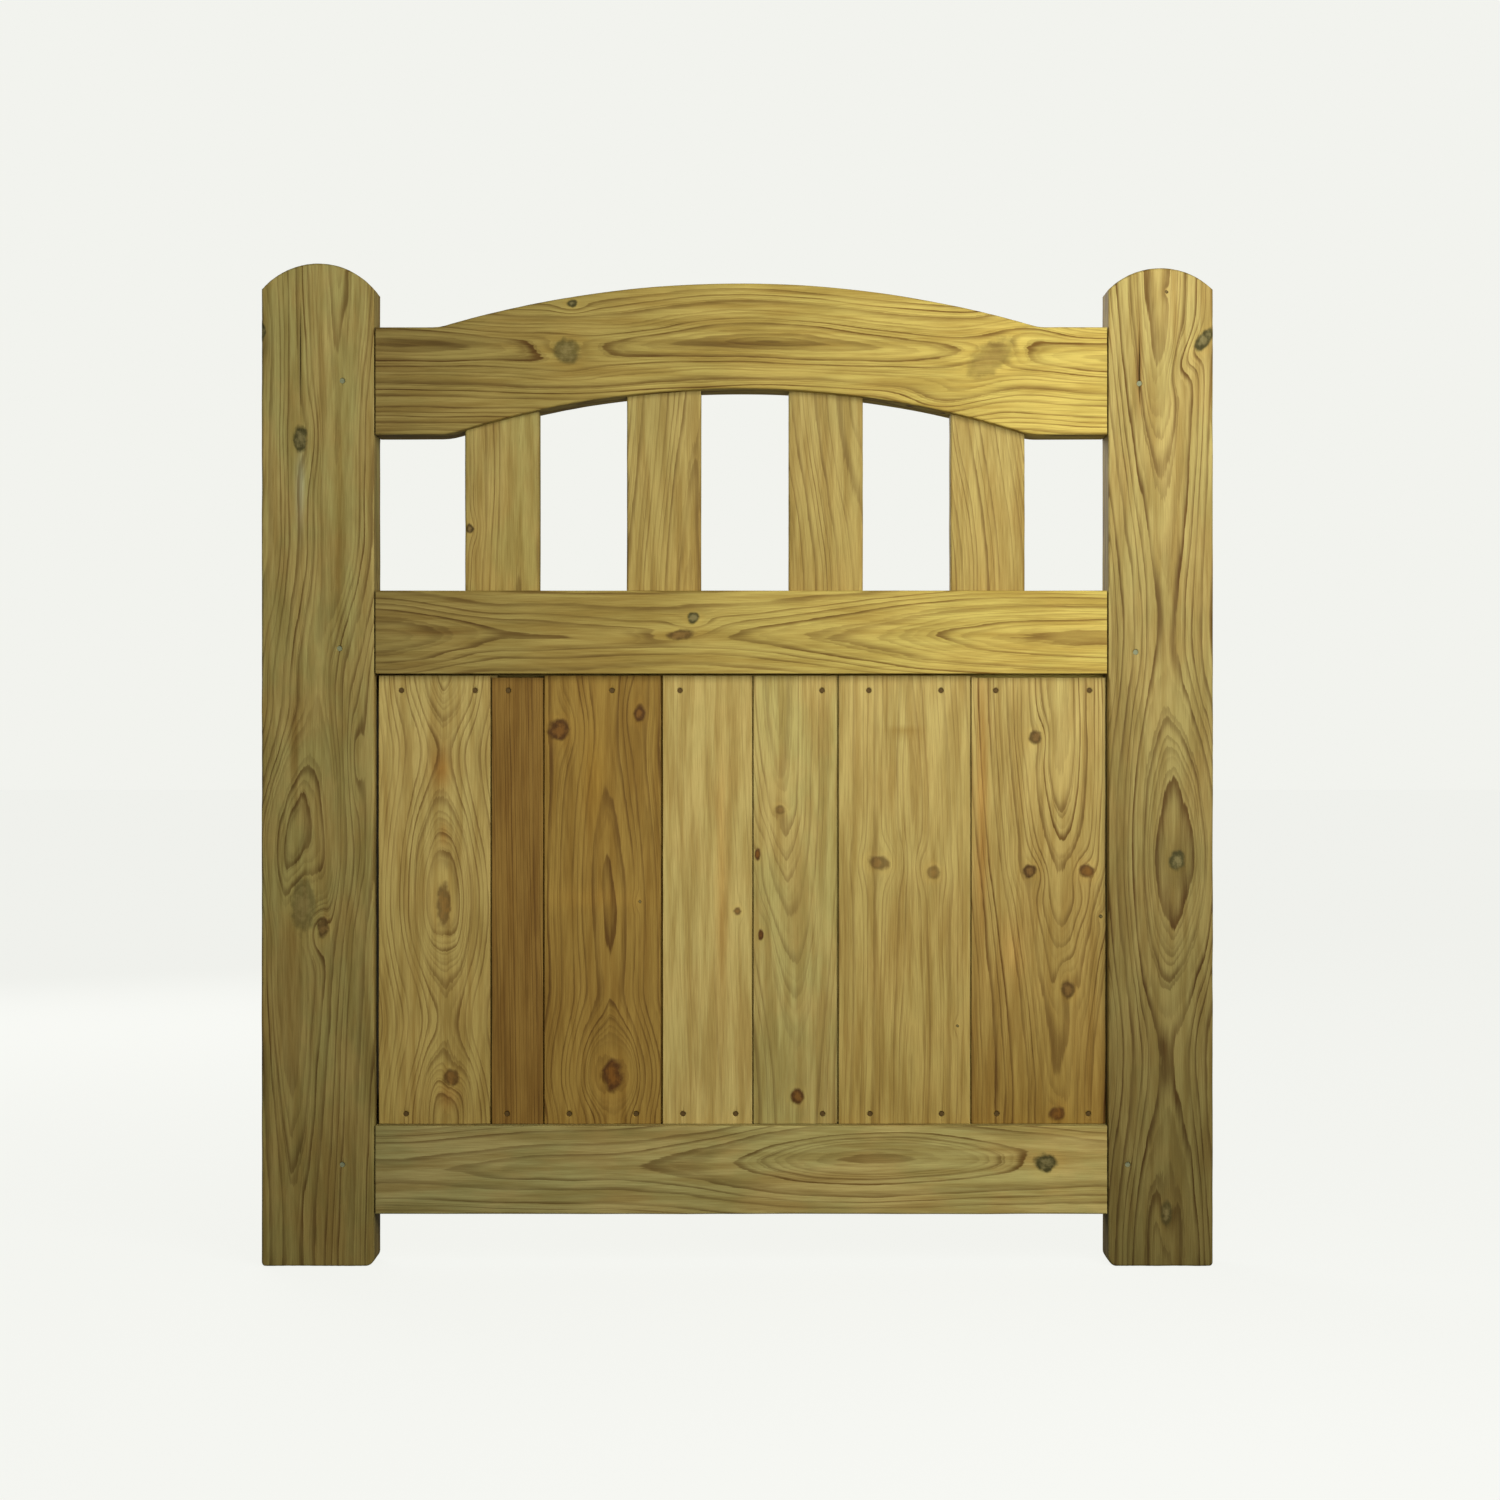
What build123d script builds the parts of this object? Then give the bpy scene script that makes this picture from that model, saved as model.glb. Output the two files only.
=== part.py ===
from build123d import *
import os
from math import sqrt

# A softwood garden gate: two stiles with rounded heads, an arched top rail, a middle and a
# bottom rail, four open pales under the arch and seven tongued boards below the middle rail.
# Millimetres. X runs across the gate, Y from its front face (-) to its back face (+), Z up from
# the feet. The origin is midway across the gate, midway through its thickness.

# Driving dimensions: the frame
gate_width = 900.0
gate_thickness = 45.0
left_stile_width = 107.0
right_stile_width = 99.5
left_stile_height = 948.5
right_stile_height = 944.0
stile_head_radius = 70.0
inner_foot_radius = 8.0
outer_foot_radius = 4.0
stile_arris = 2.5
rail_arris = 2.0

# Driving dimensions: the rails, by the height of each lower edge on the front face
bottom_rail_z = 49.0
bottom_rail_depth = 84.0
middle_rail_z = 560.0
middle_rail_depth = 79.0
top_rail_z = 786.0
top_rail_end_depth = 102.0
arch_outer_radius = 991.0
arch_inner_radius = 891.0
arch_outer_rise = 41.5
arch_inner_rise = 43.5
arch_outer_easing = 30.0
arch_inner_easing = 60.0
arch_left_of_middle = 2.0

# Driving dimensions: the mortice and tenon joints
tenon_thickness = 14.0
tenon_length = 60.0
tenon_inset = 12.0
glue_space = 2.0
shoulder_gap = 0.5

# Driving dimensions: the infill. Its face lies behind the frame's face, and the rails have a lip
# behind the boards for the nails.
infill_recess = 12.0
board_thickness = 16.0
board_covers = (106.5, 50.0, 112.5, 86.0, 81.0, 126.0, 128.5)
short_boards = (2, 7)
panel_left_gap = 2.3
board_joint_gap = 1.6
board_head_gap = 1.0
short_board_head_gap = 3.0
board_arris = 0.8
board_lip_depth = 25.0
tongue_thickness = 5.0
tongue_engagement = 5.0
tongue_clearance = 0.3
groove_spare_depth = 1.0
pale_count = 4
pale_width = 71.0
pale_thickness = 20.0
pale_pitch = 153.7
pale_group_x = 7.1
pale_housing = 16.0
pale_arris = 2.5

# Driving dimensions: the nails, punched below the surface
tenon_nail = {"length": 40.0, "shank": 3.0, "head": 5.0, "head_depth": 1.2, "punched": 1.5}
board_nail = {"length": 27.0, "shank": 2.2, "head": 4.4, "head_depth": 1.0, "punched": 1.2}
nail_point_length = 4.0
nail_point_radius = 0.2

# Where the tenon nails go: (inset from the stile's inner edge, height), left stile then right.
tenon_nail_places = {
    "top_rail": ((30.5, 837.0), (29.5, 834.5)),
    "middle_rail": ((33.0, 584.0), (26.0, 580.5)),
    "bottom_rail": ((30.5, 96.0), (18.5, 96.0)),
}

# Where the board nails go, in from each board's left edge: at its head, then at its foot.
board_nail_insets = {
    1: ((21.5, 91.5), (26.0,)),
    2: ((16.5,), (15.5,)),
    3: ((65.0,), (24.5, 88.0)),
    4: ((17.0,), (20.0, 70.0)),
    5: ((66.0,), (66.5,)),
    6: ((29.5, 98.0), (30.5, 98.5)),
    7: ((24.0, 113.0), (25.0, 112.0)),
}
head_nail_drop = 15.5
foot_nail_rise = 9.5

# Derived places
front_y = -gate_thickness / 2
back_y = gate_thickness / 2
left_inner_x = -gate_width / 2 + left_stile_width
right_inner_x = gate_width / 2 - right_stile_width
arch_x = (left_inner_x + right_inner_x) / 2 - arch_left_of_middle
infill_y = front_y + infill_recess
board_back_y = infill_y + board_thickness
panel_foot_z = bottom_rail_z + bottom_rail_depth
panel_head_z = middle_rail_z
middle_rail_top_z = middle_rail_z + middle_rail_depth
top_rail_end_z = top_rail_z + top_rail_end_depth

# How far a tenon or tongue is rooted in its member, and how far a cut runs past a surface
root = 1.0
overcut = 1.0
tolerance = 0.01


def box_between(x, y, z):
    """A box from three (low, high) pairs."""
    low = [min(pair) for pair in (x, y, z)]
    size = [abs(pair[1] - pair[0]) for pair in (x, y, z)]
    return Pos(*low) * Box(*size, align=(Align.MIN, Align.MIN, Align.MIN))


def arc_height(x, radius, peak_z):
    """Height at x of an arch of this radius that peaks at peak_z."""
    return peak_z - radius + sqrt(radius**2 - (x - arch_x) ** 2)


def edges_on_faces(solid):
    """The outline edges of a member's front and back faces."""
    front = solid.edges().filter_by_position(Axis.Y, front_y - tolerance, front_y + tolerance)
    back = solid.edges().filter_by_position(Axis.Y, back_y - tolerance, back_y + tolerance)
    return front + back


def nail_along_y(size, x, z, surface_y):
    """One nail, driven in from surface_y towards +Y, with its head punched below the surface."""
    head_y = surface_y + size["punched"]
    shank_end_y = head_y + size["length"] - nail_point_length
    towards_back = Plane(origin=(x, head_y, z), x_dir=(1, 0, 0), z_dir=(0, 1, 0))
    bottom = (Align.CENTER, Align.CENTER, Align.MIN)
    head = towards_back * Cylinder(size["head"] / 2, size["head_depth"], align=bottom)
    shank = towards_back * Cylinder(size["shank"] / 2, shank_end_y - head_y, align=bottom)
    point = (
        towards_back
        * Pos(0, 0, shank_end_y - head_y)
        * Cone(size["shank"] / 2, nail_point_radius, nail_point_length, align=bottom)
    )
    return head + shank + point


def nail_hole_along_y(size, x, z, surface_y):
    """What a driven nail takes out of the wood: itself and the punched recess over its head."""
    mouth = surface_y - overcut
    recess = Plane(origin=(x, mouth, z), x_dir=(1, 0, 0), z_dir=(0, 1, 0)) * Cylinder(
        size["head"] / 2,
        surface_y + size["punched"] - mouth,
        align=(Align.CENTER, Align.CENTER, Align.MIN),
    )
    return nail_along_y(size, x, z, surface_y) + recess


def tenon_nail_centres(rail):
    """The (x, z) of a rail's nail in the left stile and in the right stile."""
    (left_inset, left_z), (right_inset, right_z) = tenon_nail_places[rail]
    return ((left_inner_x - left_inset, left_z), (right_inner_x + right_inset, right_z))


def tenons(rail, spare=0.0):
    """A rail's two tenons, rooted in its bar, or with spare length the mortices for them."""
    y = (-tenon_thickness / 2, tenon_thickness / 2)
    reach = tenon_length + spare
    left = (left_inner_x - reach, left_inner_x + root)
    right = (right_inner_x - root, right_inner_x + reach)
    return [box_between(x, y, tenon_heights[rail]) for x in (left, right)]


def stile(x_low, x_high, height, foot_radii):
    """A stile with its rounded head, eased arrises, rounded foot corners and three mortices.

    foot_radii are those of the left and of the right corner of its foot.
    """
    centre = (x_low + x_high) / 2
    half = (x_high - x_low) / 2
    shoulder = height - stile_head_radius + sqrt(stile_head_radius**2 - half**2)
    with BuildSketch(Plane.XZ) as outline:
        with BuildLine():
            Polyline((x_low, shoulder), (x_low, 0), (x_high, 0), (x_high, shoulder))
            ThreePointArc((x_high, shoulder), (centre, height), (x_low, shoulder))
        make_face()
        for x, radius in zip((x_low, x_high), foot_radii):
            fillet(outline.vertices().sort_by_distance((x, 0, 0))[0], radius)
    member = extrude(outline.sketch, gate_thickness / 2, both=True)
    member = fillet(edges_on_faces(member), stile_arris)
    for rail in tenon_nail_places:
        for mortice in tenons(rail, glue_space):
            member -= mortice
        for x, z in tenon_nail_centres(rail):
            if x_low < x < x_high:
                member -= nail_hole_along_y(tenon_nail, x, z, front_y)
    return member


def straight_rail(name, z_low, z_high):
    """A straight rail's bar with eased long arrises and its two tenons, nailed."""
    span = (left_inner_x + shoulder_gap, right_inner_x - shoulder_gap)
    bar = box_between(span, (front_y, back_y), (z_low, z_high))
    bar = fillet(bar.edges().filter_by(Axis.X), rail_arris)
    return nailed_rail(name, bar)


def nailed_rail(name, bar):
    """Adds the tenons to a rail's bar and drills them for the nails."""
    member = bar
    for tenon in tenons(name):
        member += tenon
    for x, z in tenon_nail_centres(name):
        member -= nail_hole_along_y(tenon_nail, x, z, front_y)
    return member


def board_edges():
    """The cover lines between the boards, from left to right."""
    lines = [left_inner_x + panel_left_gap]
    for cover in board_covers:
        lines.append(lines[-1] + cover)
    return lines


def board_nail_centres(number):
    """The (x, z) of each nail in a board."""
    left = board_edges()[number - 1]
    head, foot = board_nail_insets[number]
    centres = [(left + inset, panel_head_z - head_nail_drop) for inset in head]
    centres += [(left + inset, panel_foot_z + foot_nail_rise) for inset in foot]
    return centres


def board(number):
    """A board with a tongue on its right edge, a groove in its left edge and eased arrises."""
    lines = board_edges()
    first = number == 1
    last = number == len(board_covers)
    x_low = lines[number - 1] + (0 if first else board_joint_gap / 2)
    x_high = lines[number] - (0 if last else board_joint_gap / 2)
    head_gap = short_board_head_gap if number in short_boards else board_head_gap
    z = (panel_foot_z, panel_head_z - head_gap)
    member = box_between((x_low, x_high), (infill_y, board_back_y), z)
    member = fillet(member.edges().filter_by(Axis.Z), board_arris)
    middle_y = (infill_y + board_back_y) / 2
    if not last:
        tongue_end = x_high + board_joint_gap + tongue_engagement
        half = tongue_thickness / 2
        member += box_between((x_high - root, tongue_end), (middle_y - half, middle_y + half), z)
    if not first:
        groove_end = x_low + tongue_engagement + groove_spare_depth
        half = tongue_thickness / 2 + tongue_clearance
        groove_x = (x_low - overcut, groove_end)
        member -= box_between(groove_x, (middle_y - half, middle_y + half), z)
    for x, nail_z in board_nail_centres(number):
        member -= nail_hole_along_y(board_nail, x, nail_z, infill_y)
    return member


def all_board_nail_holes():
    """The holes that every board's nails take out of the rails' lips."""
    centres = []
    for number in board_nail_insets:
        centres += board_nail_centres(number)
    return [nail_hole_along_y(board_nail, x, z, infill_y) for x, z in centres]


def pale_span(index):
    """The left and right edge of one pale."""
    centre = pale_group_x + (index - (pale_count - 1) / 2) * pale_pitch
    return (centre - pale_width / 2, centre + pale_width / 2)


def pale_head_z(index):
    """How high a pale reaches into the arched rail."""
    nearest = min(pale_span(index), key=lambda x: abs(x - arch_x))
    return arc_height(nearest, arch_inner_radius, top_rail_z + arch_inner_rise) + pale_housing


def pale_mortice(index):
    """The full-section housings for one pale, in the middle rail and in the top rail."""
    z = (middle_rail_top_z - pale_housing - glue_space, pale_head_z(index) + glue_space)
    return box_between(pale_span(index), (infill_y, infill_y + pale_thickness), z)


def pale(index):
    """A pale: a plain bar with eased long arrises, housed at both ends."""
    z = (middle_rail_top_z - pale_housing, pale_head_z(index))
    bar = box_between(pale_span(index), (infill_y, infill_y + pale_thickness), z)
    return fillet(bar.edges().filter_by(Axis.Z), pale_arris)


def corners_at_height(outline, x_low, x_high, z):
    """An outline's corners at this height, apart from those at the rail's two ends."""
    level = [v for v in outline.vertices() if abs(v.Y - z) < tolerance]
    return [v for v in level if x_low + tolerance < v.X < x_high - tolerance]


def top_rail():
    """The arched rail: flat ends, concentric arches between, housings for the pales below."""
    x_low = left_inner_x + shoulder_gap
    x_high = right_inner_x - shoulder_gap
    outer_half = sqrt(2 * arch_outer_radius * arch_outer_rise - arch_outer_rise**2)
    inner_half = sqrt(2 * arch_inner_radius * arch_inner_rise - arch_inner_rise**2)
    with BuildSketch(Plane.XZ) as outline:
        with BuildLine():
            Line((x_low, top_rail_z), (arch_x - inner_half, top_rail_z))
            ThreePointArc(
                (arch_x - inner_half, top_rail_z),
                (arch_x, top_rail_z + arch_inner_rise),
                (arch_x + inner_half, top_rail_z),
            )
            Polyline(
                (arch_x + inner_half, top_rail_z),
                (x_high, top_rail_z),
                (x_high, top_rail_end_z),
                (arch_x + outer_half, top_rail_end_z),
            )
            ThreePointArc(
                (arch_x + outer_half, top_rail_end_z),
                (arch_x, top_rail_end_z + arch_outer_rise),
                (arch_x - outer_half, top_rail_end_z),
            )
            Polyline(
                (arch_x - outer_half, top_rail_end_z),
                (x_low, top_rail_end_z),
                (x_low, top_rail_z),
            )
        make_face()
        fillet(corners_at_height(outline, x_low, x_high, top_rail_z), arch_inner_easing)
        fillet(corners_at_height(outline, x_low, x_high, top_rail_end_z), arch_outer_easing)
    bar = extrude(outline.sketch, gate_thickness / 2, both=True)
    directions = [(edge, edge.tangent_at(0.5)) for edge in edges_on_faces(bar)]
    long_edges = [edge for edge, along in directions if abs(along.X) > abs(along.Z)]
    bar = fillet(long_edges, rail_arris)
    for index in range(pale_count):
        bar -= pale_mortice(index)
    return nailed_rail("top_rail", bar)


def middle_rail():
    """The middle rail, rebated below for the boards' heads and housed above for the pales."""
    member = straight_rail("middle_rail", middle_rail_z - board_lip_depth, middle_rail_top_z)
    member -= lip_rebate((middle_rail_z - board_lip_depth - overcut, middle_rail_z))
    for index in range(pale_count):
        member -= pale_mortice(index)
    for hole in all_board_nail_holes():
        member -= hole
    return member


def bottom_rail():
    """The bottom rail, rebated above for the boards' feet."""
    member = straight_rail("bottom_rail", bottom_rail_z, panel_foot_z + board_lip_depth)
    member -= lip_rebate((panel_foot_z, panel_foot_z + board_lip_depth + overcut))
    for hole in all_board_nail_holes():
        member -= hole
    return member


def lip_rebate(z):
    """What is cut from a rail's front so that its lip stands behind the boards."""
    y = (front_y - overcut, board_back_y)
    return box_between((left_inner_x, right_inner_x), y, z)


def rail_nails(rail):
    """A rail's two nails as one group of separate solids."""
    nails = [nail_along_y(tenon_nail, x, z, front_y) for x, z in tenon_nail_centres(rail)]
    return Compound(children=nails)


def board_nails(number):
    """One board's nails as one group of separate solids."""
    centres = board_nail_centres(number)
    return Compound(children=[nail_along_y(board_nail, x, z, infill_y) for x, z in centres])


tenon_heights = {
    "top_rail": (top_rail_z + tenon_inset, top_rail_end_z - tenon_inset),
    "middle_rail": (middle_rail_z + tenon_inset, middle_rail_top_z - tenon_inset),
    "bottom_rail": (bottom_rail_z + tenon_inset, panel_foot_z - tenon_inset),
}

nodes = {
    "left_stile": stile(
        -gate_width / 2, left_inner_x, left_stile_height, (outer_foot_radius, inner_foot_radius)
    ),
    "right_stile": stile(
        right_inner_x, gate_width / 2, right_stile_height, (inner_foot_radius, outer_foot_radius)
    ),
    "top_rail": top_rail(),
    "middle_rail": middle_rail(),
    "bottom_rail": bottom_rail(),
}
for index in range(pale_count):
    nodes[f"pale_{index + 1}"] = pale(index)
for number in board_nail_insets:
    nodes[f"board_{number}"] = board(number)
    nodes[f"board_{number}_nails"] = board_nails(number)
for rail in tenon_nail_places:
    nodes[f"{rail}_nails"] = rail_nails(rail)

os.makedirs("parts", exist_ok=True)
for name, solid in nodes.items():
    export_step(solid, f"parts/{name}.step")
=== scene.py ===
from collections import namedtuple
import math

import bpy
import numpy as np
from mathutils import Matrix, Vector


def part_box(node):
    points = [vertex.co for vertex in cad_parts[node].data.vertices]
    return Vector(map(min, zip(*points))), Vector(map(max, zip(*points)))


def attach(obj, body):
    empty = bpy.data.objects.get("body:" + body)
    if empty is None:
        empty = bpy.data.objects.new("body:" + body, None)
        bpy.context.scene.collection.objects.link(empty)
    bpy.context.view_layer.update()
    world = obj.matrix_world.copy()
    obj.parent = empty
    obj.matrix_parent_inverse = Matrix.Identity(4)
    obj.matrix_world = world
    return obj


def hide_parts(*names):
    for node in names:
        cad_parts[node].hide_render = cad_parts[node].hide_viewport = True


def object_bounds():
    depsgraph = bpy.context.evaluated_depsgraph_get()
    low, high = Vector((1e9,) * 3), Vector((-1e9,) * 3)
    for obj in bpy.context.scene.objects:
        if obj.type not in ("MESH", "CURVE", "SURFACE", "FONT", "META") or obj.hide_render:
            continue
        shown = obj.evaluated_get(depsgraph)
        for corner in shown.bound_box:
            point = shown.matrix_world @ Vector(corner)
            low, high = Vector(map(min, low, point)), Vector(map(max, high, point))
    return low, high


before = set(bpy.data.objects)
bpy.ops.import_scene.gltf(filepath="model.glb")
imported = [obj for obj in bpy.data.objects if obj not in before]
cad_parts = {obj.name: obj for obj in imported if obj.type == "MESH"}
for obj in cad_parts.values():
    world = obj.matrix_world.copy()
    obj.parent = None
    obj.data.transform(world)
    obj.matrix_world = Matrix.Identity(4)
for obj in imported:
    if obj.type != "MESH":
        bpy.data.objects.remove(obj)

# The garden gate's timber and nails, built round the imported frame. Lengths are in millimetres
# until a mesh is made, and then in metres, as the frame is. X runs across the gate, Y from its
# front (-) to its back (+), and Z up.
MM = 0.001
cad_low, cad_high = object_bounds()

# How finely the timber is meshed: across the grain and along it
ACROSS_STEP = 2.1
ALONG_STEP = 6.0
EDGE_STEP = 5.5
KNOT_STEP = 3.0
LEAST_STEP = 0.15
NAIL_REACH = 8.0
ARRIS_ANGLES = (45.0, 30.0, 15.0, 0.0)
NAIL_RINGS = (0.8, 1.6, 2.3, 3.0)
CRACK_LINES = (0.35, 1.0)


# ---------------------------------------------------------------------------------------------
# Places, read from the frame
# ---------------------------------------------------------------------------------------------
def box_of(node):
    """A CAD node's lowest and highest corners, in millimetres."""
    low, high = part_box(node)
    return np.array(low) / MM, np.array(high) / MM


def nail_centres(node):
    """The (x, z) centre of each nail in a group of nails, from left to right."""
    points = np.array([v.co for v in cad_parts[node].data.vertices]) / MM
    centres = []
    for x, z in points[:, [0, 2]]:
        if all(math.hypot(x - cx, z - cz) > NAIL_REACH for cx, cz in centres):
            centres.append((x, z))
    found = []
    for cx, cz in centres:
        near = points[np.hypot(points[:, 0] - cx, points[:, 2] - cz) < NAIL_REACH]
        found.append(tuple((near.min(0) + near.max(0))[[0, 2]] / 2))
    return sorted(found)


STILES = {name: box_of(name) for name in ("left_stile", "right_stile")}
BOARD_COUNT = sum(
    name.startswith("board_") and not name.endswith("_nails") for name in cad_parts
)
PALE_COUNT = sum(name.startswith("pale_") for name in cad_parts)
BOARDS = {f"board_{i + 1}": box_of(f"board_{i + 1}") for i in range(BOARD_COUNT)}
PALES = {f"pale_{i + 1}": box_of(f"pale_{i + 1}") for i in range(PALE_COUNT)}
RAILS = {name: box_of(name) for name in ("top_rail", "middle_rail", "bottom_rail")}

FRONT_Y = STILES["left_stile"][0][1]
BACK_Y = STILES["left_stile"][1][1]
LEFT_X = STILES["left_stile"][1][0]
RIGHT_X = STILES["right_stile"][0][0]
BOARD_BACK_Y = BOARDS["board_1"][1][1]

# Joint sizes that the boxes don't give
TENON_HALF = 7.0
TENON_LENGTH = 60.0
TENON_INSET = 12.0
MORTICE_SPARE = 2.0
TONGUE_HALF = 2.5
GROOVE_HALF = 2.8
GROOVE_DEPTH = 6.2
PALE_HOUSING = 16.0

# Gaps that show: at each rail's shoulder, and to the right of each board but the last
SHOULDER_GAP = 0.6
BOARD_GAPS = (0.9, 0.8, 1.6, 0.8, 1.5, 0.9)

# How far the edges are rounded, and how unevenly
STILE_ARRIS = 3.0
RAIL_ARRIS = 2.2
BOARD_ARRIS = 0.6
PALE_ARRIS = 2.6
FOOT_ARRIS = 1.8
SHOULDER_ARRIS = 0.8
OVER_BOARDS_SHARE = 0.4
FRAME_WEAR = 0.22
BOARD_WEAR = 0.3
PALE_WEAR = 0.2
FOOT_OUTER_RADIUS = 4.0
FOOT_INNER_RADIUS = 8.0
STILE_HEAD_RADIUS = 70.0
HEAD_BASE_DROP = 70.0


# ---------------------------------------------------------------------------------------------
# Meshing: each member is cut out of a block of cells, so that its tenons, mortices, rebates,
# tongues and grooves are real and its grid is as fine as its features need
# ---------------------------------------------------------------------------------------------
def grid_lines(low, high, step, kept=()):
    """Grid lines from low to high, the kept ones among them and none further apart than step."""
    marks = [low]
    for mark in sorted(k for k in kept if low < k < high):
        if mark - marks[-1] > LEAST_STEP:
            marks.append(mark)
    if high - marks[-1] < LEAST_STEP and len(marks) > 1:
        marks.pop()
    marks.append(high)
    lines = []
    for a, b in zip(marks, marks[1:]):
        count = math.ceil((b - a) / step)
        lines.extend(a + (b - a) * i / count for i in range(count))
    return np.array(lines + [high])


def arris_lines(low, high, radius):
    """Grid lines that turn into an even quarter circle when both edges are eased to radius."""
    steps = [radius * (1 - math.tan(math.radians(a))) for a in ARRIS_ANGLES]
    return [low + s for s in steps] + [high - s for s in steps]


def lines_about(centres, offsets):
    """Grid lines at each centre and at each offset to both sides of it."""
    return [c + side * o for c in centres for o in (0.0, *offsets) for side in (-1, 1)]


class Block:
    """A block of cells between grid lines, filled and cut box by box."""

    def __init__(self, *lines):
        self.lines = lines
        self.solid = np.zeros([len(along) - 1 for along in lines], bool)

    def put(self, *spans, solid=True):
        """Fills the cells between these (low, high) spans along X, Y and Z, or empties them."""
        inside = []
        for along, (low, high) in zip(self.lines, spans):
            middle = (along[1:] + along[:-1]) / 2
            inside.append((middle > low) & (middle < high))
        self.solid[np.ix_(*inside)] = solid

    def cut(self, *spans):
        self.put(*spans, solid=False)

    def skin(self):
        """The points and outward quads of the surface between full and empty cells."""
        shape = np.array([len(along) for along in self.lines])
        index = np.arange(shape.prod()).reshape(shape)
        padded = np.pad(self.solid, 1).astype(np.int8)
        quads = []
        for axis in range(3):
            window = [slice(1, -1)] * 3
            window[axis] = slice(None)
            change = np.diff(padded[tuple(window)], axis=axis)
            first, second = np.eye(3, dtype=int)[[(axis + 1) % 3, (axis + 2) % 3]]
            turns = (0 * first, first, first + second, second)
            for sign, order in ((-1, turns), (1, turns[::-1])):
                cells = np.argwhere(change == sign)
                quads.append(np.stack([index[tuple((cells + t).T)] for t in order], axis=1))
        quads = np.concatenate(quads)
        used, flat = np.unique(quads, return_inverse=True)
        places = np.unravel_index(used, shape)
        points = np.stack([along[i] for along, i in zip(self.lines, places)], axis=1)
        return points.astype(float), flat.reshape(-1, 4)


def ease(points, axes, edge, outward, radius):
    """Rounds the edge that runs where the two axes are at edge, in place. radius may vary."""
    a, b = axes
    past_a = (points[:, a] - edge[0]) * outward[0] + radius
    past_b = (points[:, b] - edge[1]) * outward[1] + radius
    near = (past_a > 0) & (past_b > 0) & (past_a < radius + 0.01) & (past_b < radius + 0.01)
    scale = np.maximum(past_a, past_b) / np.maximum(np.hypot(past_a, past_b), 1e-6)
    points[near, a] = (edge[0] + outward[0] * (past_a * scale - radius))[near]
    points[near, b] = (edge[1] + outward[1] * (past_b * scale - radius))[near]


def ease_four(points, axes, low, high, radius):
    """Rounds the four edges of a bar that has these corners across these axes."""
    a, b = axes
    for at_a, side_a in ((low[a], -1), (high[a], 1)):
        for at_b, side_b in ((low[b], -1), (high[b], 1)):
            ease(points, axes, (at_a, at_b), (side_a, side_b), radius)


# ---------------------------------------------------------------------------------------------
# Grain: how the annual rings, knots, stains and cracks lie in each member
# ---------------------------------------------------------------------------------------------
def wobble(points, lengths, seed, waves=8):
    """A smooth random ripple of about -1 to 1, with wavelengths near lengths along each axis."""
    draw = np.random.default_rng(seed)
    total = np.zeros(len(points))
    for _ in range(waves):
        direction = draw.normal(size=3)
        direction /= np.linalg.norm(direction)
        pace = direction / np.array(lengths) * draw.uniform(0.6, 1.7)
        total += np.sin(2 * math.pi * (points @ pace) + draw.uniform(0, 2 * math.pi))
    return total / math.sqrt(waves)


def smooth_step(low, high, value):
    t = np.clip((value - low) / (high - low), 0, 1)
    return t * t * (3 - 2 * t)


Knot = namedtuple("Knot", "x z wide high tone lean strength", defaults=(0.0, 0.0, 1.0))


class Look:
    """One member's timber. Places are (x, z) from its lower left corner, as seen from the front.

    low, high: the springwood's colour at the member's lower or left end and at its other end; where
    the lower or left end is darker, that is partly painted shade, for the light falling off there.
    pith: where the pith lies: (along, across, depth behind the front) at places along the member.
        Its depth makes the cathedral arches, and a shallow place makes a spindle.
    knots: Knot's values; tone 0 is a red live knot and 1 a grey dead one, and strength is how
        far it hides the wood.
    eyes: (x, z, wide, high, rings), where rings bow round nothing that shows.
    stains: (x, z, wide, high, (red, green, blue)), which multiply the colour.
    cracks: (x, z, length) of a drying check along the grain.
    """

    def __init__(self, low, high, pith, spacing=6.0, **more):
        self.low, self.high, self.pith, self.spacing = low, high, pith, spacing
        self.wander = more.pop("wander", 3.0)
        self.contrast = more.pop("contrast", 0.95)
        self.knots = [Knot(*values) for values in more.pop("knots", ())]
        self.eyes = more.pop("eyes", ())
        self.stains = more.pop("stains", ())
        self.cracks = more.pop("cracks", ())
        self.green = more.pop("green", 0.2)
        self.seed = more.pop("seed", 1)
        if more:
            raise ValueError(f"a look has no {sorted(more)}")


def between(stations, along):
    """A smooth line through (place, value) stations."""
    line = np.full(len(along), float(stations[0][1]))
    for (a, value_a), (b, value_b) in zip(stations, stations[1:]):
        line += (value_b - value_a) * smooth_step(a, b, along)
    return line


# The rings' outline about the pith: 2 would be round, and less points the cathedral arches
ARCH_POWER = 1.6
# How much wider than a knot its bow in the grain is, across and along the grain
BOW_ACROSS, BOW_ALONG = 1.9, 3.2
BOW_MARGIN = 6.0
# How far a knot pushes the fibres aside, where 1 would leave none running into it
PUSHED_ASIDE = 0.85


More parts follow.
